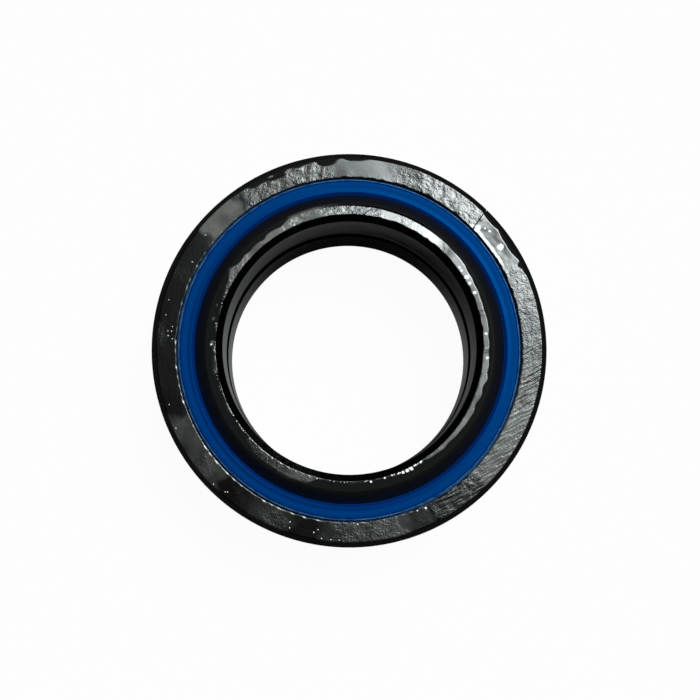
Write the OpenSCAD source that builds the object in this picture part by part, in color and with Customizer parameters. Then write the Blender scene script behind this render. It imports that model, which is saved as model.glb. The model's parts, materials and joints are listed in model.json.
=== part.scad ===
// Radial spherical plain bearing for a 35 mm shaft, with a lip seal on each side.
// The origin is the centre of the sphere, and +Z runs along the bearing's axis.

/* [Main sizes] */
// Bore of the inner ring
bore_d = 35; // [30:0.5:40]
// Thickness of the inner ring at its middle, from the bore to the sphere
inner_wall = 6; // [5.4:0.1:8]
// Thickness of the outer ring at its middle, from the sphere to the outside
outer_wall = 4; // [3.4:0.1:8]
// Width of the inner ring
inner_w = 25; // [22:0.5:27]
// Width of the outer ring
outer_w = 20; // [17:0.5:22]
// Radial play between the two sliding surfaces
play = 0.04; // [0.02:0.01:0.1]

/* [Inner ring] */
// Chamfer at each end of the bore
bore_chamfer = 0.9; // [0.5:0.05:1.2]
// Width of the broken edge between an end face and the sphere
face_break = 0.3; // [0.1:0.05:0.5]
// Width of the lubrication groove round the bore
bore_groove_w = 4.5; // [3:0.25:7]
// Depth of the lubrication groove round the bore
bore_groove_depth = 0.9; // [0.5:0.1:1.5]

/* [Outer ring] */
// Chamfer on the outside edges
outer_chamfer = 0.75; // [0.5:0.05:1.5]
// Width of the lubrication groove round the outside
outer_groove_w = 4; // [3:0.25:6]
// Depth of the lubrication groove round the outside
outer_groove_depth = 0.9; // [0.5:0.1:1.2]
// Width of the lubrication groove in the sliding surface
race_groove_w = 2.6; // [2:0.2:4]
// Depth of the lubrication groove in the sliding surface
race_groove_depth = 0.6; // [0.3:0.1:0.9]
// Direction from the axis to the line where the ring is cracked open for assembly
split_angle = 45; // [0:5:355]
// Slant of the crack from the radial direction
split_skew = 10.5; // [0:0.5:20]
// Width of the crack
split_gap = 0.15; // [0.05:0.01:0.3]
// How far the crack wanders to each side of a straight line
split_sway = 0.25; // [0:0.05:0.6]

/* [Lubrication holes] */
// Diameter of the radial holes
oil_hole_d = 2.5; // [1.5:0.25:3]
// Number of holes in each ring
oil_holes = 3; // [2:1:6]

/* [Seals] */
// Radial width of the seal's visible face
seal_w = 2.1; // [1.8:0.05:2.8]
// Depth of the seal's seat below the outer ring's face
seat_depth = 2.8; // [2.5:0.1:3.6]
// Height of the snap groove at the bottom of the seat
snap_h = 1.5; // [1:0.1:1.9]
// How far the snap groove is cut beyond the mouth of the seat
snap_step = 0.45; // [0.2:0.05:0.8]
// Chamfer on the bead that snaps into the groove
bead_chamfer = 0.35; // [0.1:0.05:0.6]
// Gap round the bead in its groove
bead_gap = 0.03; // [0.01:0.01:0.1]
// Open gap between the seal's rim and the mouth of the seat
rim_gap = 0.2; // [0.1:0.05:0.5]
// Width of the flat rim
rim_w = 0.65; // [0.5:0.05:0.8]
// How far the rim lies below the outer ring's face
rim_recess = 0.15; // [0.05:0.05:0.3]
// Width of the bead along the rim's outer edge
rim_bead_w = 0.2; // [0.15:0.01:0.25]
// Width of the fine line between that bead and the flat of the rim
rim_line_w = 0.16; // [0.1:0.02:0.2]
// Depth of that line
rim_line_depth = 0.08; // [0.04:0.02:0.12]
// Width of the groove between the rim and the lip
rim_groove_w = 1; // [0.8:0.05:1.1]
// Depth of the groove between the rim and the lip
rim_groove_depth = 0.22; // [0.16:0.02:0.3]
// Radius at the bottom of that groove
rim_groove_r = 0.4; // [0.2:0.05:0.5]
// How far the lip's crest lies below the rim
crest_drop = 0.06; // [0.02:0.02:0.1]
// Radius of the lip's crest
crest_r = 0.2; // [0.1:0.02:0.24]
// How far the lip's edge on the sphere lies below the outer ring's face
lip_drop = 0.95; // [0.7:0.05:1.2]
// Gap between the lips and the sphere
lip_gap = 0.03; // [0.01:0.01:0.1]
// Radius of the grease pocket between the two lips
pocket_r = 0.45; // [0.3:0.05:0.6]

/* [Edges] */
// Radius on the rings' turned edges
ring_edge_r = 0.1; // [0.05:0.05:0.25]
// Radius on the seals' moulded edges
seal_edge_r = 0.1; // [0.04:0.02:0.14]

/* [Hidden] */
$fn = 120;
// Overrun of a cutting shape past the face that it cuts
over = 1;
// Steps along each rounded edge
arc_steps = 5;
// Straight stretches along the crack, and the turn of its wander at each
split_steps = 8;
split_turn = 137.5;

bore_r = bore_d / 2;
sphere_r = bore_r + inner_wall;
outer_r = sphere_r + outer_wall;
inner_h = inner_w / 2;
outer_h = outer_w / 2;
race_r = sphere_r + play;

// Radius of the sphere's section at a height
function sphere_at(z) = sqrt(sphere_r * sphere_r - z * z);

// The seal's rim and seat are placed from the lip's edge on the sphere
lip_z = outer_h - lip_drop;
lip_r = sphere_at(lip_z);
rim_r = lip_r + seal_w;
rim_z = outer_h - rim_recess;
mouth_r = rim_r + rim_gap;
snap_r = mouth_r + snap_step;
seat_z = outer_h - seat_depth;
snap_top = seat_z + snap_h;

// Points of a closed outline whose corner i is rounded to the radius radii[i]
function unit(v) = v / norm(v);
function direction(v) = atan2(v.y, v.x);
function short_turn(a) = a > 180 ? a - 360 : a < -180 ? a + 360 : a;
function arc(centre, r, first, turn) =
    [for (i = [0 : arc_steps]) let (a = first + turn * i / arc_steps) centre + r * [cos(a), sin(a)]];
function corner(before, at, after, r) =
    let (
        u = unit(before - at),
        v = unit(after - at),
        half = acos(u * v) / 2,
        centre = at + unit(u + v) * r / sin(half),
        first = direction(at + u * r / tan(half) - centre),
        last = direction(at + v * r / tan(half) - centre),
        turn = short_turn(last - first)
    )
    arc(centre, r, first, turn);
function rounded(points, radii) =
    let (n = len(points))
    [
        for (i = [0 : n - 1])
            each radii[i] > 0
                ? corner(points[(i + n - 1) % n], points[i], points[(i + 1) % n], radii[i])
                : [points[i]]
    ];

// Section of a groove of round bottom whose mouth is on the line x = 0 and that is cut towards +x
module groove_section(width, depth) {
    r = (width * width / 4 + depth * depth) / (2 * depth);
    translate([depth - r, 0])
    circle(r);
}

// Radial holes through the wall of a ring, spread evenly to both sides of a direction
module oil_hole_cuts(start) {
    for (i = [0 : oil_holes - 1])
        rotate([0, 90, start + (i + 0.5) * 360 / oil_holes])
        cylinder(h = outer_r + over, d = oil_hole_d);
}

// Both halves of a section that is the same above and below the middle plane
module both_sides() {
    children();
    mirror([0, 1]) children();
}

// Section of the inner ring before its sphere is turned: bore, chamfers and end faces
module inner_blank_section() {
    face_r = sphere_at(inner_h) - face_break;
    // The broken edge runs at half the slope of the sphere there
    break_slope = tan((90 - asin(inner_h / sphere_r)) / 2);
    break_run = 2 * face_break;
    top = [
        [bore_r, inner_h - bore_chamfer],
        [bore_r + bore_chamfer, inner_h],
        [face_r, inner_h],
        [face_r + break_run, inner_h - break_run * break_slope],
        [sphere_r + over, inner_h - break_run * break_slope]
    ];
    flip = [for (i = [len(top) - 1 : -1 : 0]) [top[i].x, -top[i].y]];
    radii = [ring_edge_r, ring_edge_r, ring_edge_r, 0, 0];
    flip_radii = [for (i = [len(radii) - 1 : -1 : 0]) radii[i]];
    polygon(rounded(concat(top, flip), concat(radii, flip_radii)));
}

module inner_ring() {
    color([0.09, 0.09, 0.1])
    difference() {
        rotate_extrude()
        difference() {
            intersection() {
                inner_blank_section();
                circle(sphere_r);
            }
            translate([bore_r, 0])
            groove_section(bore_groove_w, bore_groove_depth);
        }
        oil_hole_cuts(split_angle);
    }
}

// Section of the cut for one seal: mouth, snap groove and shoulder
module seat_section() {
    polygon([
        [bore_r, seat_z],
        [snap_r, seat_z],
        [snap_r, snap_top],
        [mouth_r, snap_top],
        each arc([mouth_r + ring_edge_r, outer_h - ring_edge_r], ring_edge_r, 180, -90),
        [mouth_r + ring_edge_r, outer_h + over],
        [bore_r, outer_h + over]
    ]);
}

// Section of the outer ring before its sliding surface and seats are cut
module outer_blank_section() {
    points = [
        [bore_r, -outer_h],
        [outer_r - outer_chamfer, -outer_h],
        [outer_r, outer_chamfer - outer_h],
        [outer_r, outer_h - outer_chamfer],
        [outer_r - outer_chamfer, outer_h],
        [bore_r, outer_h]
    ];
    polygon(rounded(points, [0, ring_edge_r, ring_edge_r, ring_edge_r, ring_edge_r, 0]));
}

// The crack through the outer ring's wall: a thin wandering slit, slanted from the radial direction
module split_cut() {
    middle_r = (mouth_r + outer_r) / 2;
    reach = 2 * (middle_r - bore_r);
    function wander(i) = split_sway * sin(split_turn * i);
    function level(i) = (outer_h + over) * (2 * i / split_steps - 1);
    rotate(split_angle)
    translate([middle_r, 0, 0])
    rotate([90, 0, 90 + split_skew])
    linear_extrude(height = reach, center = true)
    polygon([
        for (i = [0 : split_steps]) [wander(i) - split_gap / 2, level(i)],
        for (i = [split_steps : -1 : 0]) [wander(i) + split_gap / 2, level(i)]
    ]);
}

module outer_ring() {
    color([0.1, 0.1, 0.11])
    difference() {
        rotate_extrude()
        difference() {
            outer_blank_section();
            circle(race_r);
            both_sides() seat_section();
            translate([race_r, 0])
            groove_section(race_groove_w, race_groove_depth);
            translate([outer_r, 0])
            mirror([1, 0])
            groove_section(outer_groove_w, outer_groove_depth);
        }
        oil_hole_cuts(split_angle);
        split_cut();
    }
}

// Section of the upper seal: snap bead, beaded rim, groove, and two lips on the sphere with a pocket between
module seal_section() {
    bead_r = snap_r - bead_gap;
    bead_bottom = seat_z + bead_gap;
    bead_top = snap_top - bead_gap;
    line_r = rim_r - rim_bead_w;
    groove_r = rim_r - rim_w;
    crest = [groove_r - rim_groove_w, rim_z - crest_drop];
    lip = [lip_r, lip_z];
    // The lip's slope and the underside run on into the sphere, which then trims them
    lip_end = lip + 0.5 * (lip - crest);
    pocket_z = (bead_bottom + lip_z) / 2;
    points = [
        [lip_r - over, bead_bottom],
        [bead_r - bead_chamfer, bead_bottom],
        [bead_r, bead_bottom + bead_chamfer],
        [bead_r, bead_top],
        [rim_r, bead_top],
        [rim_r, rim_z],
        [line_r, rim_z],
        [line_r - rim_line_w / 2, rim_z - rim_line_depth],
        [line_r - rim_line_w, rim_z],
        [groove_r, rim_z],
        [groove_r - rim_groove_w / 2, rim_z - rim_groove_depth],
        crest,
        lip_end
    ];
    edge_radii = [0, 0, seal_edge_r, seal_edge_r, 0, seal_edge_r];
    face_radii = [0, 0, 0, seal_edge_r, rim_groove_r, crest_r, 0];
    difference() {
        polygon(rounded(points, concat(edge_radii, face_radii)));
        circle(sphere_r + lip_gap);
        translate([sphere_at(pocket_z), pocket_z])
        circle(pocket_r);
    }
}

module upper_seal() {
    color([0.01, 0.2, 0.46])
    rotate_extrude()
    seal_section();
}

module lower_seal() {
    color([0.01, 0.2, 0.46])
    rotate_extrude()
    mirror([0, 1])
    seal_section();
}

inner_ring();
outer_ring();
upper_seal();
lower_seal();
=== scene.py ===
import json
import math

import bpy
import numpy as np
from mathutils import Matrix, Vector, noise


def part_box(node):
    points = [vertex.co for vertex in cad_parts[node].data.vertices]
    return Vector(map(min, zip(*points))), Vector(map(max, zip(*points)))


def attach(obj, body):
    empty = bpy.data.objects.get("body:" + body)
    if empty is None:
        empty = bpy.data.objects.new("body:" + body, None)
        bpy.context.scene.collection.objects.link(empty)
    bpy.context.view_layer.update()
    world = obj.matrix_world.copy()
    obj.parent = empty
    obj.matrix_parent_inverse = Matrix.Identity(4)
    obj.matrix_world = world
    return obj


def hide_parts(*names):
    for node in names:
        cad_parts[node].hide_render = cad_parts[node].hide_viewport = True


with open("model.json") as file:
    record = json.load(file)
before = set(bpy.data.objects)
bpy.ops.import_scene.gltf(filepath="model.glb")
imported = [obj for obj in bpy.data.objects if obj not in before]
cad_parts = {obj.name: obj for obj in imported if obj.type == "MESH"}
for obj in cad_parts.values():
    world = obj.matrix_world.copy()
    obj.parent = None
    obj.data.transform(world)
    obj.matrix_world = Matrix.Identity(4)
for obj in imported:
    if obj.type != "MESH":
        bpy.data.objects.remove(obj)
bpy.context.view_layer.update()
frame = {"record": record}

# Lengths are in millimetres, as in the part's source, up to the point where a mesh is made.
MM = 0.001

# Sizes that the frame gives.
MOUNTS = {mount["name"]: mount["dims"] for mount in frame["record"]["mounts"]}
BORE_R = MOUNTS["shaft_bore"]["r_mm"]
OUTER_R = MOUNTS["housing_seat"]["r_mm"]
INNER_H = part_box("inner_ring")[1].z / MM
OUTER_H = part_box("outer_ring")[1].z / MM

# Sizes of the sections, as in the part's source; a groove or a line is (width, depth).
SPHERE_R = 23.5
RACE_R = SPHERE_R + 0.04
EDGE_R = 0.1
BORE_CHAMFER = 0.9
FACE_BREAK = 0.3
BORE_GROOVE = (4.5, 0.9)
OUTER_CHAMFER = 0.75
OUTER_GROOVE = (4.0, 0.9)
RACE_GROOVE = (2.6, 0.6)
HOLE_D = 2.5
HOLE_ANGLES = (105, 225, 345)
SPLIT_ANGLE = 45
SPLIT_SKEW = 10.5
SPLIT_GAP = 0.15
SPLIT_SWAY = 0.25
SPLIT_STEPS = 8
SPLIT_TURN = 137.5
SEAL_W = 2.1
SEAT_DEPTH = 2.8
SNAP_H = 1.5
SNAP_STEP = 0.45
BEAD_CHAMFER = 0.35
BEAD_GAP = 0.03
RIM_GAP = 0.2
RIM_W = 0.65
RIM_RECESS = 0.15
RIM_BEAD_W = 0.2
RIM_LINE = (0.16, 0.08)
LIP_DROP = 0.95
LIP_GAP = 0.03
POCKET_R = 0.45
SEAL_EDGE_R = 0.1

# The face of the seal, which is a little flatter than in the part's source.
RIM_GROOVE = (1.19, 0.02)
RIM_GROOVE_R = 0.4
CREST_RISE = 0.01
CREST_R = 0.2
LIP_SLOPE = math.radians(40)


def sphere_at(z):
    return math.sqrt(SPHERE_R * SPHERE_R - z * z)


LIP_Z = OUTER_H - LIP_DROP
LIP_R = sphere_at(LIP_Z)
RIM_R = LIP_R + SEAL_W
RIM_Z = OUTER_H - RIM_RECESS
MOUTH_R = RIM_R + RIM_GAP
SNAP_R = MOUTH_R + SNAP_STEP
SEAT_Z = OUTER_H - SEAT_DEPTH
SNAP_TOP = SEAT_Z + SNAP_H

# How finely the sections are turned into meshes: points round a ring and round its upper face, the
# largest step and error of an arc, steps across the upper and lower faces, the distance of points beside
# an edge, the longest stretches without points, points round a hole, and the angle of a sharp edge.
COARSE = 480
FINE = 2 * COARSE
ARC_STEP = math.radians(12)
ARC_ERROR = 0.004
UPPER_STEP = 0.08
LOWER_STEP = 0.24
EDGE_MARGIN = 0.08
RING_STRETCH = 0.95
SEAL_STRETCH = 0.32
HOLE_POINTS = 48
SHARP_ANGLE = math.radians(32)

# Margins: overrun of a cutting shape, the angle between the race and its groove, how far below its
# rounded edge the finer upper face ends, and the largest difference of equal heights.
OVERRUN = 1
GROOVE_MARGIN = 0.002
FACE_MARGIN = 0.001
SAME = 1e-6


# Sections: lists of (r, z) points that run clockwise, with r to the right and z up.

def arc(centre, radius, first, last):
    step = min(ARC_STEP, 2 * math.acos(1 - ARC_ERROR / radius))
    count = max(2, math.ceil(abs(last - first) / step))
    angles = np.linspace(first, last, count + 1)
    return [(centre[0] + radius * math.cos(a), centre[1] + radius * math.sin(a)) for a in angles]


def corner(before, at, after, radius):
    u, v, p = np.subtract(before, at), np.subtract(after, at), np.array(at, float)
    u, v = u / np.linalg.norm(u), v / np.linalg.norm(v)
    half = math.acos(np.clip(u @ v, -1, 1)) / 2
    middle = (u + v) / np.linalg.norm(u + v)
    centre = p + middle * radius / math.sin(half)
    start = p + u * radius / math.tan(half) - centre
    end = p + v * radius / math.tan(half) - centre
    first = math.atan2(start[1], start[0])
    turn = math.remainder(math.atan2(end[1], end[0]) - first, 2 * math.pi)
    return arc(centre, radius, first, first + turn)


def rounded(corners):
    """An open outline from (r, z, radius) corners; the two ends keep their points."""
    out = [corners[0][:2]]
    for before, at, after in zip(corners, corners[1:], corners[2:]):
        out += corner(before[:2], at[:2], after[:2], at[2]) if at[2] else [at[:2]]
    return out + [corners[-1][:2]]


def flipped(outline):
    return [(r, -z) for r, z in reversed(outline)]


def groove(mouth_r, size, side):
    """The round bottom of a groove that is cut towards +r (side 1) or -r (side -1), from z low to high."""
    width, depth = size
    radius = (width * width / 4 + depth * depth) / (2 * depth)
    reach = math.asin(width / 2 / radius)
    ends = (-reach, reach) if side > 0 else (math.pi + reach, math.pi - reach)
    return arc((mouth_r + side * (depth - radius), 0), radius, *ends)


def along_to_circle(start, way, radius):
    """The point where a line from start meets the circle round the origin."""
    p, d = np.array(start, float), np.array(way, float)
    a, b, c = d @ d, 2 * p @ d, p @ p - radius * radius
    roots = [(-b + s * math.sqrt(b * b - 4 * a * c)) / (2 * a) for s in (-1, 1)]
    t = min(root for root in roots if root > 0)
    return tuple(p + t * d)


def inner_ring_section():
    face_r = sphere_at(INNER_H) - FACE_BREAK
    slope = math.tan((math.pi / 2 - math.asin(INNER_H / SPHERE_R)) / 2)
    on_sphere = along_to_circle((face_r, INNER_H), (1, -slope), SPHERE_R)
    top = rounded([
        (BORE_R, BORE_GROOVE[0] / 2, 0),
        (BORE_R, INNER_H - BORE_CHAMFER, EDGE_R),
        (BORE_R + BORE_CHAMFER, INNER_H, EDGE_R),
        (face_r, INNER_H, EDGE_R),
        (*on_sphere, 0),
    ])
    rise = math.atan2(on_sphere[1], on_sphere[0])
    sphere = arc((0, 0), SPHERE_R, rise, -rise)
    bore = groove(BORE_R, BORE_GROOVE, 1)
    return top[:-1] + sphere + flipped(top)[1:] + bore[1:-1]


def outer_ring_section():
    top = rounded([
        (MOUTH_R, SNAP_TOP, 0),
        (MOUTH_R, OUTER_H, EDGE_R),
        (OUTER_R - OUTER_CHAMFER, OUTER_H, EDGE_R),
        (OUTER_R, OUTER_H - OUTER_CHAMFER, EDGE_R),
        (OUTER_R, OUTER_GROOVE[0] / 2, 0),
    ])
    outside = groove(OUTER_R, OUTER_GROOVE, -1)
    seat_r = math.sqrt(RACE_R * RACE_R - SEAT_Z * SEAT_Z)
    rise = math.atan2(SEAT_Z, seat_r)
    dip = math.asin(RACE_GROOVE[0] / 2 / RACE_R) + GROOVE_MARGIN
    race = arc((0, 0), RACE_R, -rise, -dip)
    race += groove(RACE_R, RACE_GROOVE, 1)
    race += arc((0, 0), RACE_R, dip, rise)
    seat = [(SNAP_R, SNAP_TOP), (SNAP_R, SEAT_Z)]
    lower_seat = [(r, -z) for r, z in seat]
    return top + outside[::-1][1:-1] + flipped(top) + lower_seat + race + seat[::-1]


def seal_section():
    bead_r = SNAP_R - BEAD_GAP
    bottom = SEAT_Z + BEAD_GAP
    bead_top = SNAP_TOP - BEAD_GAP
    line_r = RIM_R - RIM_BEAD_W
    groove_r = RIM_R - RIM_W
    crest = (groove_r - RIM_GROOVE[0], RIM_Z + CREST_RISE)
    gap_r = SPHERE_R + LIP_GAP
    lip = along_to_circle(crest, (-math.cos(LIP_SLOPE), -math.sin(LIP_SLOPE)), gap_r)
    heel = (math.sqrt(gap_r * gap_r - bottom * bottom), bottom)
    pocket_z = (bottom + LIP_Z) / 2
    around = arc((sphere_at(pocket_z), pocket_z), POCKET_R, -math.pi / 2, math.pi)
    pocket = [p for p in around if math.hypot(*p) > gap_r]
    face = rounded([
        (*lip, 0),
        (*crest, CREST_R),
        (groove_r - RIM_GROOVE[0] / 2, RIM_Z - RIM_GROOVE[1], RIM_GROOVE_R),
        (groove_r, RIM_Z, SEAL_EDGE_R),
        (line_r - RIM_LINE[0], RIM_Z, 0),
        (line_r - RIM_LINE[0] / 2, RIM_Z - RIM_LINE[1], 0),
        (line_r, RIM_Z, 0),
        (RIM_R, RIM_Z, SEAL_EDGE_R),
        (RIM_R, bead_top, 0),
        (bead_r, bead_top, SEAL_EDGE_R),
        (bead_r, bottom + BEAD_CHAMFER, SEAL_EDGE_R),
        (bead_r - BEAD_CHAMFER, bottom, 0),
        (*heel, 0),
    ])
    return face + pocket


def refined(outline, stretch, face_z=0):
    """Adds points across the flat faces at face_z, and beside both ends of every other long stretch."""
    out = []
    for p, q in zip(outline, outline[1:] + outline[:1]):
        p, q = np.array(p), np.array(q)
        length = np.linalg.norm(q - p)
        out.append(tuple(p))
        shares = ()
        if face_z and abs(abs(p[1]) - face_z) < SAME and abs(p[1] - q[1]) < SAME:
            count = math.ceil(length / (UPPER_STEP if p[1] > 0 else LOWER_STEP))
            shares = np.arange(1, count) / count
        elif length > stretch:
            shares = (EDGE_MARGIN / length, 1 - EDGE_MARGIN / length)
        out += [tuple(p + s * (q - p)) for s in shares]
    return out


# The oil film on the rings' end faces: (length, height) of its waves, its thickness, and its edges.
SWELL = (5.0, 0.028)
LUMP = (1.2, 0.013)
GRAIN = (0.38, 0.0085)
TERRACE = (0.7, 0.0004)
THICKNESS = 0.02
BORDER = 0.12
ROLL_R = 0.3
ROLL_W = 0.07

# How its sectors, terraces and edges stray: (length, amount), (degrees, mm) for bare places, one length
# for the edges and their amounts; then the lengths of its patches.
SECTOR_STRAY = (1.6, 4)
TERRACE_STRAY = (2.2, 1.5)
BARE_STRAY = (4.5, 0.7)
WANDER = 0.8
LEAN_WANDER = 0.25
ROLL_WANDER = 2.5
POOL_PATCH = 2.5
THIN_PATCH = 2.0

# How much of the lumps and of the grain a pool takes away, and how much of both a thin film does.
POOL_CALMS = (0.9, 0.97)
LAY_CALMS = 0.6

# Underneath, the same sectors are turned by an angle and the waves have other seeds.
UNDERSIDE_TURN = 150
UNDERSIDE_SEED = 40

# The film's looks at a point: their names, their values off the faces and on a drop, and the depth
# below the face where the values of the face end.
LOOKS = ("calm", "haze", "lay", "bare")
OFF_FACE = (0.9, 0, 0, 0)
DROP_LOOKS = (1, 0, 0, 0)
EDGE_DEPTH = 0.2 * EDGE_R


def wave(x, y, length, seed):
    return noise.noise(Vector((x / length, y / length, seed)))


def within(angle, centre, half, soft):
    """1 inside a sector of the ring, falling to 0 over soft degrees at both ends."""
    away = abs(math.remainder(angle - centre, 360))
    share = min(1, max(0, (half + soft - away) / soft))
    return share * share * (3 - 2 * share)


def share_of(marks, angle, patch):
    """How far a place is in one of the marked sectors, with a ragged border."""
    whole = max((strength * within(angle, *sector) for sector, strength in marks), default=0)
    return min(1, max(0, whole * (1 + patch)))


class Film:
    """The film on one ring's two end faces; a sector is (centre, half width, soft end) in degrees.

    pools: (sector, strength), where the film is thick and calm
    hazes: (sector, strength), where it dried to a pale haze
    lays: (sector, strength), where it is so thin that the marks of grinding show
    mottles: (sector, gain), where it is lumpier by the gain
    leans: (sector, low_r, high_r, slope), where it falls outwards between two radii
    tilts: (sector, slope), where it falls clockwise
    bares: (sector, depth, ragged), where it has drawn back from the outer edge
    """

    def __init__(self, low_r, high_r, face_z, seed, pools, hazes, mottles, leans, bares, lays=(), tilts=()):
        self.low_r, self.high_r, self.face_z, self.seed = low_r, high_r, face_z, seed
        self.pools, self.hazes, self.lays, self.mottles = pools, hazes, lays, mottles
        self.leans, self.tilts, self.bares = leans, tilts, bares

    def at(self, x, y, side):
        """Height of the film, and how calm, hazy, thin and bare it is."""
        seed = self.seed + UNDERSIDE_SEED * (side < 0)
        r = math.hypot(x, y)
        angle = math.degrees(math.atan2(y, x)) + UNDERSIDE_TURN * (side < 0)
        strayed = angle + SECTOR_STRAY[1] * wave(x, y, SECTOR_STRAY[0], seed + 5)
        wander = wave(x, y, WANDER, seed + 3)
        calm = share_of(self.pools, strayed, wave(x, y, POOL_PATCH, seed + 9))
        haze = share_of(self.hazes, strayed, wave(x, y, THIN_PATCH, seed + 7))
        lay = share_of(self.lays, strayed, wave(x, y, THIN_PATCH, seed + 6))
        bare = self.bare(r, angle, wave(angle / BARE_STRAY[0], r / BARE_STRAY[1], 1, seed + 8))
        gain = 1 + sum(more * within(strayed, *sector) for sector, more in self.mottles)
        gain *= (1 - LAY_CALMS * lay) * (1 - bare)
        h = SWELL[1] * wave(x, y, SWELL[0], seed) - THICKNESS * bare
        h += gain * (1 - POOL_CALMS[0] * calm) * LUMP[1] * wave(x, y, LUMP[0], seed + 1)
        h += gain * (1 - POOL_CALMS[1] * calm) * GRAIN[1] * wave(x, y, GRAIN[0], seed + 2)
        turns = r / TERRACE[0] + TERRACE_STRAY[1] * wave(x, y, TERRACE_STRAY[0], seed + 4)
        h += calm * TERRACE[1] * math.sin(2 * math.pi * turns)
        h = self.sloped(h, r, angle, wander)
        return h + self.rolls(r, wander, bare), calm, haze * (1 - bare), lay, bare

    def sloped(self, h, r, angle, wander):
        """The height h with the film's leans and tilts added."""
        for sector, low, high, slope in self.leans:
            reach = low + (high - low) * (1 + LEAN_WANDER * wander)
            h -= slope * within(angle, *sector) * (min(max(r, low), reach) - (low + high) / 2)
        for sector, slope in self.tilts:
            turn = math.radians(math.remainder(angle - sector[0], 360))
            h += slope * within(angle, *sector) * r * turn
        return h

    def bare(self, r, angle, wander):
        """1 where the film has drawn back from the outer edge of the face."""
        share = 0
        for sector, depth, ragged in self.bares:
            into = depth * within(angle, *sector) * (1 + ragged * wander) - (self.high_r - r)
            share = max(share, min(1, into / BORDER))
        return share

    def rolls(self, r, wander, bare):
        """How far the film falls at both edges of the face."""
        inside = max(0, ROLL_W * (1 + ROLL_WANDER * wander) - (r - self.low_r))
        outside = max(0, ROLL_W * (1 - wander) * (1 - bare) - (self.high_r - r))
        return -(inside * inside + outside * outside) / (2 * ROLL_R)


def film_on(film, chamfer, point):
    """How far the film moves a point of the ring along z, and its looks there.

    The film fades out down the chamfer, and underneath it is pressed flat.
    """
    x, y, z = point
    side = 1 if z > 0 else -1
    depth = film.face_z - abs(z)
    if depth > chamfer:
        return 0, *OFF_FACE
    fade = 1 if depth <= EDGE_R else (chamfer - depth) / (chamfer - EDGE_R)
    r = math.hypot(x, y)
    near = min(max(r, film.low_r), film.high_r) / r
    h, *looks = film.at(x * near, y * near, side)
    lift = fade * h if side > 0 else -fade * min(h, 0)
    return lift, *(OFF_FACE if depth > EDGE_DEPTH else looks)


# Meshes.

def lathe(name, outline, film=None, chamfer=0):
    """A ring with this section; the film moves the points of its end faces, and its upper face is finer."""
    top = film.face_z - EDGE_R - FACE_MARGIN if film else math.inf
    counts = [FINE if z > top else COARSE for r, z in outline]
    points = []
    for (r, z), count in zip(outline, counts):
        angles = np.arange(count) * 2 * math.pi / count
        points.append(np.stack([r * np.cos(angles), r * np.sin(angles), np.full(count, z)], 1))
    points = np.concatenate(points)
    looks = []
    if film:
        moved = np.array([film_on(film, chamfer, p) for p in points])
        points[:, 2] += moved[:, 0]
        looks = moved[:, 1:].T
    return new_piece(name, points, ring_faces(counts), looks)


def ring_faces(counts):
    """Faces between neighbouring rows of points; a row may have twice as many points as the next."""
    starts = np.concatenate([[0], np.cumsum(counts)])
    faces = []
    for i, n in enumerate(counts):
        k = (i + 1) % len(counts)
        a, b, m = starts[i], starts[k], counts[k]
        for j in range(min(n, m)):
            p, q = (j + 1) % n, (j + 1) % m
            if n == m:
                faces.append((a + j, b + j, b + q, a + p))
            elif n < m:
                e, f, g = b + 2 * j, b + 2 * j + 1, b + (2 * j + 2) % m
                faces += [(a + j, e, f), (a + j, f, a + p), (a + p, f, g)]
            else:
                e, f, g = a + 2 * j, a + 2 * j + 1, a + (2 * j + 2) % n
                faces += [(e, b + j, f), (f, b + j, b + q), (f, b + q, g)]
    return faces


def new_piece(name, points, faces, looks=()):
    mesh = bpy.data.meshes.new(name)
    mesh.from_pydata((np.array(points) * MM).tolist(), [], [[int(v) for v in face] for face in faces])
    for look, values in zip(LOOKS, looks):
        attribute = mesh.attributes.new(look, "FLOAT", "POINT")
        attribute.data.foreach_set("value", np.array(values, np.float32))
    piece = bpy.data.objects.new(name, mesh)
    bpy.context.scene.collection.objects.link(piece)
    return piece


def cut(piece, cutters):
    """Takes the cutters out of the piece."""
    for cutter in cutters:
        modifier = piece.modifiers.new("cut", "BOOLEAN")
        modifier.operation = "DIFFERENCE"
        modifier.solver = "MANIFOLD"
        modifier.object = cutter
    bpy.context.view_layer.update()
    whole = piece.evaluated_get(bpy.context.evaluated_depsgraph_get())
    mesh = bpy.data.meshes.new_from_object(whole)
    piece.modifiers.clear()
    old = piece.data
    piece.data = mesh
    bpy.data.meshes.remove(old)
    mesh.name = piece.name
    for cutter in cutters:
        bpy.data.meshes.remove(cutter.data)


def prism(name, bottom, top):
    """A closed solid between two outlines of as many points."""
    count = len(bottom)
    sides = [(k, (k + 1) % count, count + (k + 1) % count, count + k) for k in range(count)]
    caps = [tuple(range(count - 1, -1, -1)), tuple(range(count, 2 * count))]
    return new_piece(name, bottom + top, sides + caps)


def hole_cutters(low_r, high_r):
    """Radial pins that cut the lubrication holes."""
    angles = np.linspace(0, 2 * math.pi, HOLE_POINTS + 1)[:-1]
    circle = [(math.cos(a) * HOLE_D / 2, math.sin(a) * HOLE_D / 2) for a in angles]
    cutters = []
    for degrees in HOLE_ANGLES:
        turn = Matrix.Rotation(math.radians(degrees), 3, "Z")
        ends = [[tuple(turn @ Vector((r, c, s))) for c, s in circle] for r in (low_r, high_r)]
        cutters.append(prism(f"hole_{degrees}", *ends))
    return cutters


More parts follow.
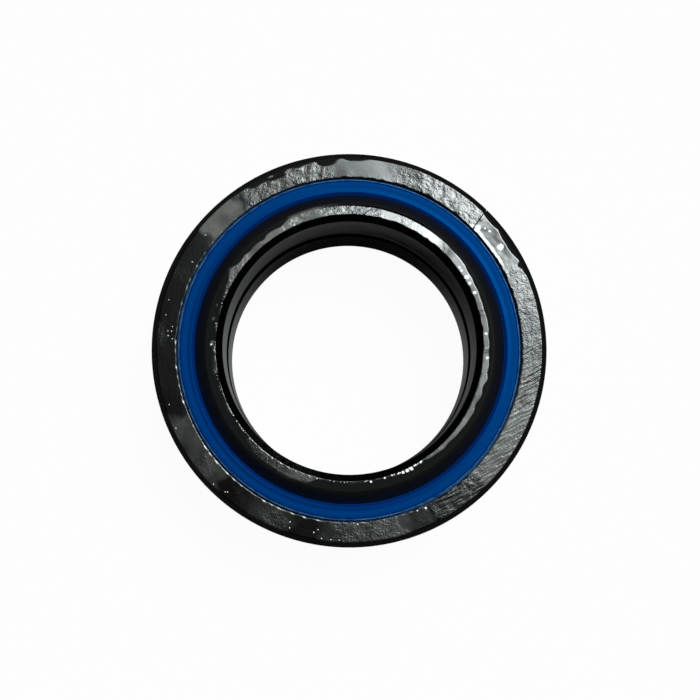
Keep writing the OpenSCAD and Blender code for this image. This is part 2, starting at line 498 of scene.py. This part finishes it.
def split_cutter():
    """The crack through the outer ring, a thin wandering slit."""
    middle = (MOUTH_R + OUTER_R) / 2
    reach = middle - BORE_R
    turn = Matrix.Rotation(math.radians(SPLIT_ANGLE), 3, "Z")
    skew = Matrix.Rotation(math.radians(SPLIT_SKEW), 3, "Z")
    levels = [(OUTER_H + OVERRUN) * (2 * k / SPLIT_STEPS - 1) for k in range(SPLIT_STEPS + 1)]
    sways = [SPLIT_SWAY * math.sin(math.radians(SPLIT_TURN * k)) for k in range(SPLIT_STEPS + 1)]
    line = [(s + SPLIT_GAP / 2, z) for s, z in zip(sways, levels)]
    line += [(s - SPLIT_GAP / 2, z) for s, z in zip(sways[::-1], levels[::-1])]

    def placed(along):
        return [tuple(turn @ (Vector((middle, 0, 0)) + skew @ Vector((along, s, z)))) for s, z in line]

    return prism("crack", placed(-reach), placed(reach))


# Drops of oil: rows and points of their meshes, how deep they sit, how far they bulge, where their tops
# lean and how far out a lean starts in widths, and their straying outlines: (length, amount), and where.
DROP_ROWS = 4
DROP_POINTS = 16
DROP_SINK = 0.004
DROP_DOME = 0.06
DROP_WAY = (math.sqrt(0.5), math.sqrt(0.5))
DROP_REACH = 0.6
DROP_STRAY = (0.4, 0.4)
DROP_STRAY_R = 0.3


def drop_outline(film, x, y, size):
    """Offsets from the middle of a drop, row by row, with a straying outline."""
    offsets = [(0, 0)]
    for row in range(1, DROP_ROWS + 1):
        for k in range(DROP_POINTS):
            b = 2 * math.pi * k / DROP_POINTS
            beside = (x + DROP_STRAY_R * math.cos(b), y + DROP_STRAY_R * math.sin(b))
            stray = 1 + DROP_STRAY[1] * wave(*beside, DROP_STRAY[0], film.seed)
            rho = row / DROP_ROWS * stray * size / 2
            offsets.append((rho * math.cos(b), rho * math.sin(b)))
    return offsets


def drop_points(film, degrees, r, size, lean):
    """Points of a flat drop on the upper face; its top leans to one side by a slope."""
    a = math.radians(degrees)
    x, y = r * math.cos(a), r * math.sin(a)
    floor = film.face_z + film.at(x, y, 1)[0] - DROP_SINK
    points = []
    for u, v in drop_outline(film, x, y, size):
        dome = size * DROP_DOME / 4 * (1 - 4 * (u * u + v * v) / (size * size))
        slant = lean * (DROP_REACH * size - u * DROP_WAY[0] - v * DROP_WAY[1])
        points.append((x + u, y + v, floor + max(0, dome + slant)))
    return points + [(x, y, floor - DROP_SINK)]


def drop_faces(start):
    """Faces of the drop whose points begin at start: a fan, rows, and a fan to the point below."""
    last = start + DROP_ROWS * DROP_POINTS + 1
    faces = []
    for k in range(DROP_POINTS):
        n = (k + 1) % DROP_POINTS
        faces.append((start, start + 1 + k, start + 1 + n))
        for row in range(DROP_ROWS - 1):
            i = start + 1 + row * DROP_POINTS
            faces.append((i + k, i + DROP_POINTS + k, i + DROP_POINTS + n, i + n))
        faces.append((last, last - DROP_POINTS + n, last - DROP_POINTS + k))
    return faces


def add_drops(piece, film, drops):
    """Joins drops of oil to a ring."""
    points, faces = [], []
    for one in drops:
        faces += drop_faces(len(points))
        points += drop_points(film, *one)
    wet = new_piece("drops", points, faces, [[value] * len(points) for value in DROP_LOOKS])
    wet.data.shade_smooth()
    with bpy.context.temp_override(active_object=piece, selected_editable_objects=[piece, wet]):
        bpy.ops.object.join()


# Materials.

def add(tree, kind, inputs=None, **settings):
    made = tree.nodes.new("ShaderNode" + kind)
    for name, value in settings.items():
        setattr(made, name, value)
    for key, value in (inputs or {}).items():
        if isinstance(value, bpy.types.NodeSocket):
            tree.links.new(value, made.inputs[key])
        else:
            made.inputs[key].default_value = value
    return made


def maths(tree, operation, a, b=0.0):
    return add(tree, "Math", {0: a, 1: b}, operation=operation).outputs[0]


def times(tree, a, b):
    return maths(tree, "MULTIPLY", a, b)


def total(tree, *values):
    out = values[0]
    for value in values[1:]:
        out = maths(tree, "ADD", out, value)
    return out


def blended(tree, share, low, high, start=0.0, end=1.0):
    """low where share is at its start and high where it is at its end."""
    ends = {"Value": share, "From Min": start, "From Max": end, "To Min": low, "To Max": high}
    return add(tree, "MapRange", ends).outputs[0]


def two_tints(tree, share, low, high):
    tints = [tint if isinstance(tint, bpy.types.NodeSocket) else (*tint, 1) for tint in (low, high)]
    return add(tree, "Mix", {0: share, 6: tints[0], 7: tints[1]}, data_type="RGBA").outputs[2]


def noise_at(tree, where, scale, detail=2.0, rough=0.5):
    node = add(tree, "TexNoise", {"Vector": where, "Scale": scale, "Detail": detail, "Roughness": rough})
    return node.outputs["Fac"]


def look(tree, name):
    return add(tree, "Attribute", attribute_name=name).outputs["Fac"]


def in_mm(tree):
    """Places on the piece, in millimetres."""
    where = add(tree, "TexCoord").outputs["Object"]
    return add(tree, "VectorMath", {0: where, "Scale": 1 / MM}, operation="SCALE").outputs[0]


def flattened(tree, where):
    return add(tree, "VectorMath", {0: where, 1: (1, 1, 0)}, operation="MULTIPLY").outputs[0]


def length_of(tree, vector):
    return add(tree, "VectorMath", {0: vector}, operation="LENGTH").outputs["Value"]


def new_material(name):
    material = bpy.data.materials.new(name)
    material.use_nodes = True
    tree = material.node_tree
    return material, tree, tree.nodes["Principled BSDF"]


def feed(tree, socket, value):
    tree.links.new(value, socket)


def relief_on(tree, shader, height):
    """Bump of a height in millimetres."""
    bump = add(tree, "Bump", {"Strength": 1.0, "Distance": MM, "Height": height})
    feed(tree, shader.inputs["Normal"], bump.outputs[0])


# Steel: relief as (noise per millimetre, height) and as (size, height) for beads, the turn and size of
# the grinding marks, where the walls lie, roughness of the wet and of the calm film, and the damp ball.
SPECKS = (4.6, 0.02)
SPECKS_IN_LAYS = 0.005
BEADS = (0.28, 0.009)
RIDGES = 0.06
RIDGE_TURN = (0, 0, math.radians(30))
RIDGE_SIZE = (2.5, 0.35, 1)
STREAKS = (0.55, 0.05)
STREAK_STRETCH = (1, 1, 0.35)
WALL_DEPTH = (0.02, 0.1)
WET_ROUGH = (0.13, 0.05)
DAMP = 0.55
DAMP_DEPTH = (0.22, 0.12)
OIL_IOR = 1.5
OUTER_STEEL = {
    "dark": (0.0008, 0.0006, 0.0004),
    "pale": (0.0026, 0.0022, 0.0016),
    "hazy": (0.13, 0.134, 0.122),
}
INNER_STEEL = {
    "dark": (0.0003, 0.0003, 0.0003),
    "pale": (0.0014, 0.0013, 0.0011),
    "hazy": (0.17, 0.175, 0.16),
    "ball": SPHERE_R,
}


def grinding_marks(tree, where):
    """Fine straight ridges that run from lower left to upper right."""
    inputs = {"Vector": where, "Rotation": RIDGE_TURN, "Scale": RIDGE_SIZE}
    turned = add(tree, "Mapping", inputs, vector_type="TEXTURE")
    return noise_at(tree, turned.outputs[0], 1.0, 1.0)


def streaks_on_walls(tree, where):
    """Low waves of oil that ran along the bore and along the outside."""
    radius = length_of(tree, flattened(tree, where))
    near, far = WALL_DEPTH
    bore = blended(tree, radius, 1.0, 0.0, BORE_R + near, BORE_R + far)
    outside = blended(tree, radius, 0.0, 1.0, OUTER_R - far, OUTER_R - near)
    along = add(tree, "Mapping", {"Vector": where, "Scale": STREAK_STRETCH}).outputs[0]
    waves = times(tree, noise_at(tree, along, STREAKS[0], 2.0, 0.4), STREAKS[1])
    return times(tree, waves, maths(tree, "MAXIMUM", bore, outside))


def beads(tree, where, size):
    """Low round beads of the film, side by side."""
    far = add(tree, "TexVoronoi", {"Vector": where, "Scale": 1 / size}, feature="F1").outputs["Distance"]
    return times(tree, times(tree, far, far), -1.0)


def film_relief(tree, where, calm, lay):
    """Specks, beads and grinding marks, which a calm film covers."""
    patch = blended(tree, noise_at(tree, where, 0.6, 2.0), 0.0, 1.0, 0.4, 0.62)
    height = blended(tree, lay, SPECKS[1], SPECKS_IN_LAYS)
    specks = times(tree, noise_at(tree, where, SPECKS[0], 3.0), height)
    round_ones = times(tree, beads(tree, where, BEADS[0]), times(tree, patch, BEADS[1]))
    ridges = times(tree, grinding_marks(tree, where), times(tree, lay, RIDGES))
    return times(tree, total(tree, specks, round_ones, ridges), blended(tree, calm, 1.0, 0.04))


def oily_steel(name, dark, pale, hazy, ball=None):
    """Black phosphated steel under an uneven film of oil: glossy where it is wet, dull where it is bare.

    ball: the radius of the sliding surface, which is only damp.
    """
    material, tree, shader = new_material(name)
    where = in_mm(tree)
    calm, haze, lay, bare = [look(tree, kind) for kind in LOOKS]
    cloud = noise_at(tree, where, 0.35, 3.0)
    if ball:
        ends = [ball - depth for depth in DAMP_DEPTH]
        bare = maths(tree, "MAXIMUM", bare, blended(tree, length_of(tree, where), 0.0, DAMP, *ends))
    relief = times(tree, film_relief(tree, where, calm, lay), blended(tree, bare, 1.0, 0.2))
    relief_on(tree, shader, total(tree, relief, streaks_on_walls(tree, where)))
    wet = total(tree, blended(tree, calm, *WET_ROUGH), blended(tree, cloud, -0.015, 0.03))
    feed(tree, shader.inputs["Roughness"], blended(tree, bare, wet, 1.0))
    haze = times(tree, haze, blended(tree, noise_at(tree, where, 1.1, 4.0), 0.5, 1.3))
    steel = two_tints(tree, cloud, dark, pale)
    feed(tree, shader.inputs["Base Color"], two_tints(tree, haze, steel, hazy))
    shader.inputs["IOR"].default_value = OIL_IOR
    return material


# Rubber: relief as (noise per millimetre, height), roughness, where the lip's painted glow ends outside
# LIP_R, where the rim's painted highlight starts inside RIM_R, the tint of its gloss, and its tints.
MOULD_LINES = (7.0, 0.003)
DUST = (5.0, 0.003)
RUBBER_ROUGH = (0.34, 0.44)
LIP_GLOW_ENDS = (0.1, 0.3)
RIM_HIGHLIGHT_STARTS = (0.26, 0.12)
RUBBER_GLOSS = (0.0, 0.24, 0.85, 1)
SEAL_BLUE = {
    "deep": (0.0002, 0.0155, 0.107),
    "light": (0.0003, 0.019, 0.122),
    # Paler blue for the lip's slope: a painted glow of light through the thin lip, which also lifts its
    # shade.
    "thin": (0.0003, 0.0235, 0.15),
    # Pale grey-blue for a band inside the rim: a painted highlight of its rounded outer edge.
    "rubbed": (0.06, 0.15, 0.28),
}


def moulded_rubber(name, deep, light, thin, rubbed):
    """Blue elastomer with the fine turned lines of its mould; its lip is painted a paler blue as a painted
    glow of light through the thin lip, and a band at its rim a pale tint as a painted highlight.
    """
    material, tree, shader = new_material(name)
    where = in_mm(tree)
    radius = length_of(tree, flattened(tree, where))
    turned = {"W": radius, "Scale": MOULD_LINES[0], "Detail": 2.0}
    lines = add(tree, "TexNoise", turned, noise_dimensions="1D").outputs["Fac"]
    dust = noise_at(tree, where, DUST[0], 3.0)
    cloud = noise_at(tree, where, 0.5, 2.0)
    relief = total(tree, times(tree, lines, MOULD_LINES[1]), times(tree, dust, DUST[1]))
    relief_on(tree, shader, relief)
    feed(tree, shader.inputs["Roughness"], blended(tree, dust, *RUBBER_ROUGH))
    # Painted highlight: a band inside the rim is mixed towards a pale tint, broken by noise.
    rim_highlight_share = blended(tree, radius, 0.0, 1.0, *[RIM_R - inside for inside in RIM_HIGHLIGHT_STARTS])
    rim_highlight_share = times(tree, rim_highlight_share, blended(tree, noise_at(tree, where, 0.8, 3.0), 0.2, 1.0, 0.35, 0.65))
    # Painted light: the lip's slope is mixed towards the paler lip tint, a painted glow that lifts its
    # shade.
    lip = blended(tree, radius, 1.0, 0.0, *[LIP_R + outside for outside in LIP_GLOW_ENDS])
    tint = two_tints(tree, lip, two_tints(tree, cloud, deep, light), thin)
    feed(tree, shader.inputs["Base Color"], two_tints(tree, rim_highlight_share, tint, rubbed))
    shader.inputs["Specular Tint"].default_value = RUBBER_GLOSS
    return material


# The stage. The camera and the light, which leans from the vertical and spreads by an angle in radians.
CAMERA_AT = Vector((-2.94, -20.52, 242.18)) * MM
AIM_RIGHT = 0.2 * MM
AIM_UP = 0.62 * MM
LENS = 86.4
CLIP_START = 0.005
LIGHT_LEAN = (0.24, 0.28)
LIGHT_SPREAD = 0.113
LIGHT_RADIANCE = 35.0
LIGHT_TINT = (0.93, 1.0, 1.0, 1)
ROOM_DIM = 0.004
ROOM_BRIGHT = 0.06
BACKDROP = (0.98, 0.98, 0.98, 1)

# The floor: half its width, its (albedo, glow) to the camera and in reflections, and the glows that only
# reflections show, with the radii between which they rise or fall.
FLOOR_HALF = 3000
FLOOR_ROUGH = 0.9
FLOOR_SEEN = (0.03, 0.96)
FLOOR_MIRRORED = (0.09, 0.004)
FLOOR_RING = (30, 45, 70, 110)
FLOOR_RING_GLOW = 0.5
BORE_GLOW = 0.13
BORE_GLOW_POWER = 6.0
BORE_MIDDLE = (12.6, 15.9)
BORE_MIDDLE_AT = (-1.2, 0, 0)
BORE_MIDDLE_GLOW = 0.085


def set_camera():
    back = CAMERA_AT.normalized()
    right = Vector((0, 1, 0)).cross(back).normalized()
    up = back.cross(right)
    at = CAMERA_AT + right * AIM_RIGHT + up * AIM_UP
    camera = bpy.data.objects.new("camera", bpy.data.cameras.new("camera"))
    camera.matrix_world = Matrix.Translation(at) @ Matrix((right, up, back)).transposed().to_4x4()
    camera.data.lens = LENS
    camera.data.clip_start = CLIP_START
    bpy.context.scene.collection.objects.link(camera)
    bpy.context.scene.camera = camera


def set_world():
    """A dim room with one large soft light; to the camera it is a plain pale backdrop."""
    world = bpy.data.worlds.new("studio")
    bpy.context.scene.world = world
    world.use_nodes = True
    tree = world.node_tree
    tree.nodes.clear()
    way = add(tree, "TexCoord").outputs["Generated"]
    centre = Vector((*LIGHT_LEAN, 1)).normalized()
    cosine = add(tree, "VectorMath", {0: way, 1: centre}, operation="DOT_PRODUCT").outputs["Value"]
    away = maths(tree, "DIVIDE", maths(tree, "ARCCOSINE", cosine), LIGHT_SPREAD)
    light = maths(tree, "EXPONENT", times(tree, maths(tree, "POWER", away, 2.0), -0.5))
    dome = maths(tree, "POWER", blended(tree, cosine, 0.0, 1.0, 0.3, 1.0), 2.0)
    strength = total(tree, times(tree, light, LIGHT_RADIANCE), blended(tree, dome, ROOM_DIM, ROOM_BRIGHT))
    room = add(tree, "Background", {"Color": LIGHT_TINT, "Strength": strength})
    backdrop = add(tree, "Background", {"Color": BACKDROP, "Strength": 1.0})
    seen = add(tree, "LightPath").outputs["Is Camera Ray"]
    mixed = add(tree, "MixShader", {0: seen, 1: room.outputs[0], 2: backdrop.outputs[0]})
    add(tree, "OutputWorld", {"Surface": mixed.outputs[0]})


def mirrored_glow(tree):
    """The floor's glow in reflections: a soft ring shapes the outside of the bearing, and soft glows at
    the sides and in the middle shape the bore."""
    flat = flattened(tree, in_mm(tree))
    far = length_of(tree, flat)
    rising = blended(tree, far, 0.0, 1.0, *FLOOR_RING[:2])
    ring = times(tree, rising, blended(tree, far, FLOOR_RING_GLOW, 0.0, *FLOOR_RING[2:]))
    aside = maths(tree, "DIVIDE", add(tree, "SeparateXYZ", {0: flat}).outputs[0], BORE_R)
    under = blended(tree, far, BORE_GLOW, 0.0, BORE_R, OUTER_R)
    sides = times(tree, maths(tree, "POWER", aside, BORE_GLOW_POWER), under)
    beside = add(tree, "VectorMath", {0: flat, 1: BORE_MIDDLE_AT}, operation="DISTANCE").outputs["Value"]
    middle = blended(tree, beside, BORE_MIDDLE_GLOW, FLOOR_MIRRORED[1], *BORE_MIDDLE)
    return total(tree, ring, sides, middle)


def make_floor():
    """A floor that is pale to the camera and dimmer in reflections, so that the steel stays black."""
    low, high = -FLOOR_HALF, FLOOR_HALF
    corners = [(low, low), (high, low), (high, high), (low, high)]
    floor = new_piece("floor", [(x, y, -INNER_H) for x, y in corners], [(0, 1, 2, 3)])
    material, tree, shader = new_material("pale_floor")
    shader.inputs["Roughness"].default_value = FLOOR_ROUGH
    shader.inputs["Specular IOR Level"].default_value = 0.0
    shader.inputs["Emission Color"].default_value = (1, 1, 1, 1)
    seen = add(tree, "LightPath").outputs["Is Camera Ray"]
    greys = [(pair[0],) * 3 for pair in (FLOOR_MIRRORED, FLOOR_SEEN)]
    feed(tree, shader.inputs["Base Color"], two_tints(tree, seen, *greys))
    glow = blended(tree, seen, mirrored_glow(tree), FLOOR_SEEN[1])
    feed(tree, shader.inputs["Emission Strength"], glow)
    floor.data.materials.append(material)


def place(piece, body, node, material):
    piece.data.materials.clear()
    piece.data.materials.append(material)
    piece.data.shade_smooth()
    piece.data.set_sharp_from_angle(angle=SHARP_ANGLE)
    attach(piece, body)
    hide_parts(node)


# What the film does in the photograph, sector by sector.

INNER_FACE = (BORE_R + BORE_CHAMFER, sphere_at(INNER_H) - FACE_BREAK)
OUTER_FACE = (MOUTH_R + EDGE_R, OUTER_R - OUTER_CHAMFER)
OUTER_BESIDE_SEAL = (OUTER_FACE[0], OUTER_FACE[0] + 0.45)
OUTER_FILM = Film(
    *OUTER_FACE, OUTER_H, 3.3,
    pools=[
        ((85, 5, 9), 1), ((36, 7, 2), 1), ((134, 6, 4), 1), ((163, 22, 5), 1), ((-163, 14, 8), 1),
        ((-68, 4, 2), 1), ((-103, 6, 3), 1), ((-127, 8, 4), 0.9),
    ],
    hazes=[
        ((134, 5, 3), 1), ((-77, 5, 3), 0.25), ((-89, 6, 6), 0.15), ((-116, 6, 4), 0.12),
        ((-147, 11, 4), 0.3), ((-31, 13, 1.5), 0.75), ((-10, 8, 6), 0.2), ((112, 10, 6), 0.25),
    ],
    lays=[((-9, 8, 4), 1), ((-28, 14, 6), 1), ((-52, 8, 4), 1)],
    mottles=[((56, 12, 5), 1.5), ((20, 7, 3), 0.5), ((110, 12, 4), 0.9), ((-50, 6, 2), 1.4)],
    leans=[
        ((54, 8, 7), *OUTER_FACE, 0.018),
        ((84, 6, 8), *OUTER_FACE, 0.02),
        ((20, 5, 4), *OUTER_FACE, 0.012),
        ((36, 7, 3), *OUTER_FACE, -0.012),
        ((37, 7, 3), *OUTER_BESIDE_SEAL, 0.1),
        ((70, 4, 6), *OUTER_FACE, -0.006),
        ((8, 5, 5), *OUTER_FACE, -0.007),
        ((160, 14, 6), *OUTER_FACE, 0.008),
    ],
    bares=[
        ((42, 1, 4), 0.35, 0.2), ((33.5, 1, 7), 0.55, 0.2), ((97, 1, 4), 0.8, 0.6), ((88, 1, 5), 0.45, 0.8),
        ((108, 6, 6), 0.6, 2.0), ((117, 3, 6), 0.5, 2.0), ((25, 1, 2), 0.4, 1.0),
    ],
)
INNER_FILM = Film(
    *INNER_FACE, INNER_H, 17.7,
    pools=[
        ((24, 20, 4), 1), ((-25, 22, 4), 1), ((-78, 22, 6), 1), ((130, 8, 3), 1), ((62, 12, 6), 0.8),
    ],
    hazes=[
        ((-112, 8, 2), 0.42), ((-130, 7, 2), 0.15), ((147, 4, 2), 0.55), ((160, 6, 3), 0.25),
        ((110, 11, 5), 1), ((131, 9, 3), 0.75), ((-30, 22, 12), 1),
    ],
    mottles=[((95, 26, 5), 1.0)],
    leans=[
        ((67, 14, 8), *INNER_FACE, 0.073),
        ((92, 8, 8), *INNER_FACE, 0.062),
        ((36, 6, 6), *INNER_FACE, 0.022),
    ],
    tilts=[((75, 27, 8), 0.012)],
    bares=[
        ((-62, 9, 53), 0.86, 0.25), ((-80, 23, 6), 1.05, 0.25), ((-20, 15, 75), 0.45, 0.8),
        ((131, 11, 6), 0.55, 0.5), ((-172, 34, 8), 1.0, 1.0),
    ],
)


# Drops on the upper faces, as (degrees, r, width), with the slope of their tops; those in a chain stray
# from its radius, and their widths are shares of its width.
CHAIN_STRAY = 0.05
CHAIN_SHARES = (0.5, 1.2)


def sloping(slope, spots):
    return [(*spot, slope) for spot in spots]


def chain(seed, first, last, count, r, size):
    """Drops strewn along an edge."""
    rng = np.random.default_rng(seed)
    degrees = rng.uniform(first, last, count)
    radii = r + rng.uniform(-CHAIN_STRAY, CHAIN_STRAY, count)
    return zip(degrees, radii, size * rng.uniform(*CHAIN_SHARES, count))


OUTER_DROPS = [
    *sloping(0.09, [(34, 25.45, 1.0), (40, 25.6, 0.4), (41.7, 25.35, 0.3), (43.3, 24.7, 0.9)]),
    *sloping(0.18, [
        (176.9, 24.6, 0.15), (176, 25.2, 0.19), (174.5, 25.3, 0.14), (174.5, 24.8, 0.16),
        (173, 24.75, 0.15), (169.6, 25.9, 0.14), (164.9, 26.0, 0.14), (151.1, 25.0, 0.19),
        (141.7, 25.6, 0.2), (-130.2, 26.0, 0.15), (-130.8, 26.2, 0.14), (-134.9, 26.5, 0.14),
        (-155.2, 26.4, 0.15), (-162.6, 26.1, 0.15),
    ]),
    *sloping(0.16, [
        (-64.5, 24.45, 0.34), (-67.3, 24.3, 0.2), (-87.3, 24.3, 0.18), (-93, 26.5, 0.14),
        (-95.5, 26.5, 0.14), (-98.3, 26.5, 0.15), (-100.9, 25.85, 0.18), (-99.8, 25.4, 0.15),
        (-108.4, 26.1, 0.16), (-108.8, 25.3, 0.16),
    ]),
]
INNER_DROPS = [
    *sloping(0.09, [
        (31, 18.85, 0.7), (36, 18.7, 0.4), (34.5, 18.7, 0.4), (28, 18.75, 0.5), (23.5, 18.8, 0.5),
    ]),
    *sloping(0.1, [(5.5, 18.85, 0.4)]),
    *sloping(0.12, [(-4.5, 19.0, 0.4)]),
    *sloping(0.17, [(-63, 18.7, 0.5), (-65, 18.7, 0.5), (-67, 18.7, 0.4), (-81, 18.7, 0.3)]),
    *sloping(0.18, [(179, 19.0, 0.26)]),
    *sloping(0.17, chain(5, -76, -58, 20, 18.56, 0.24)),
    *sloping(0.17, chain(6, -150, -82, 30, 18.52, 0.12)),
    *sloping(0.18, chain(7, 142, 205, 14, 18.6, 0.11)),
]


def build():
    outer_outline = refined(outer_ring_section(), RING_STRETCH, OUTER_H)
    inner_outline = refined(inner_ring_section(), RING_STRETCH, INNER_H)
    outer = lathe("outer_ring_turned", outer_outline, OUTER_FILM, OUTER_CHAMFER)
    inner = lathe("inner_ring_turned", inner_outline, INNER_FILM, BORE_CHAMFER)
    upper = lathe("upper_seal_moulded", refined(seal_section(), SEAL_STRETCH))
    lower = lathe("lower_seal_moulded", refined(flipped(seal_section()), SEAL_STRETCH))
    cut(outer, hole_cutters(RACE_R - OVERRUN, OUTER_R + OVERRUN) + [split_cutter()])
    cut(inner, hole_cutters(BORE_R - OVERRUN, SPHERE_R + OVERRUN))
    add_drops(outer, OUTER_FILM, OUTER_DROPS)
    add_drops(inner, INNER_FILM, INNER_DROPS)
    black = oily_steel("outer_ring_oily_steel", **OUTER_STEEL)
    inner_black = oily_steel("inner_ring_oily_steel", **INNER_STEEL)
    blue = moulded_rubber("seal_blue_elastomer", **SEAL_BLUE)
    place(outer, "outer_ring", "outer_ring", black)
    place(inner, "inner_ring", "inner_ring", inner_black)
    place(upper, "seal_pair", "upper_seal", blue)
    place(lower, "seal_pair", "lower_seal", blue)


build()
make_floor()
set_world()
set_camera()
bpy.context.scene.view_settings.view_transform = "Standard"
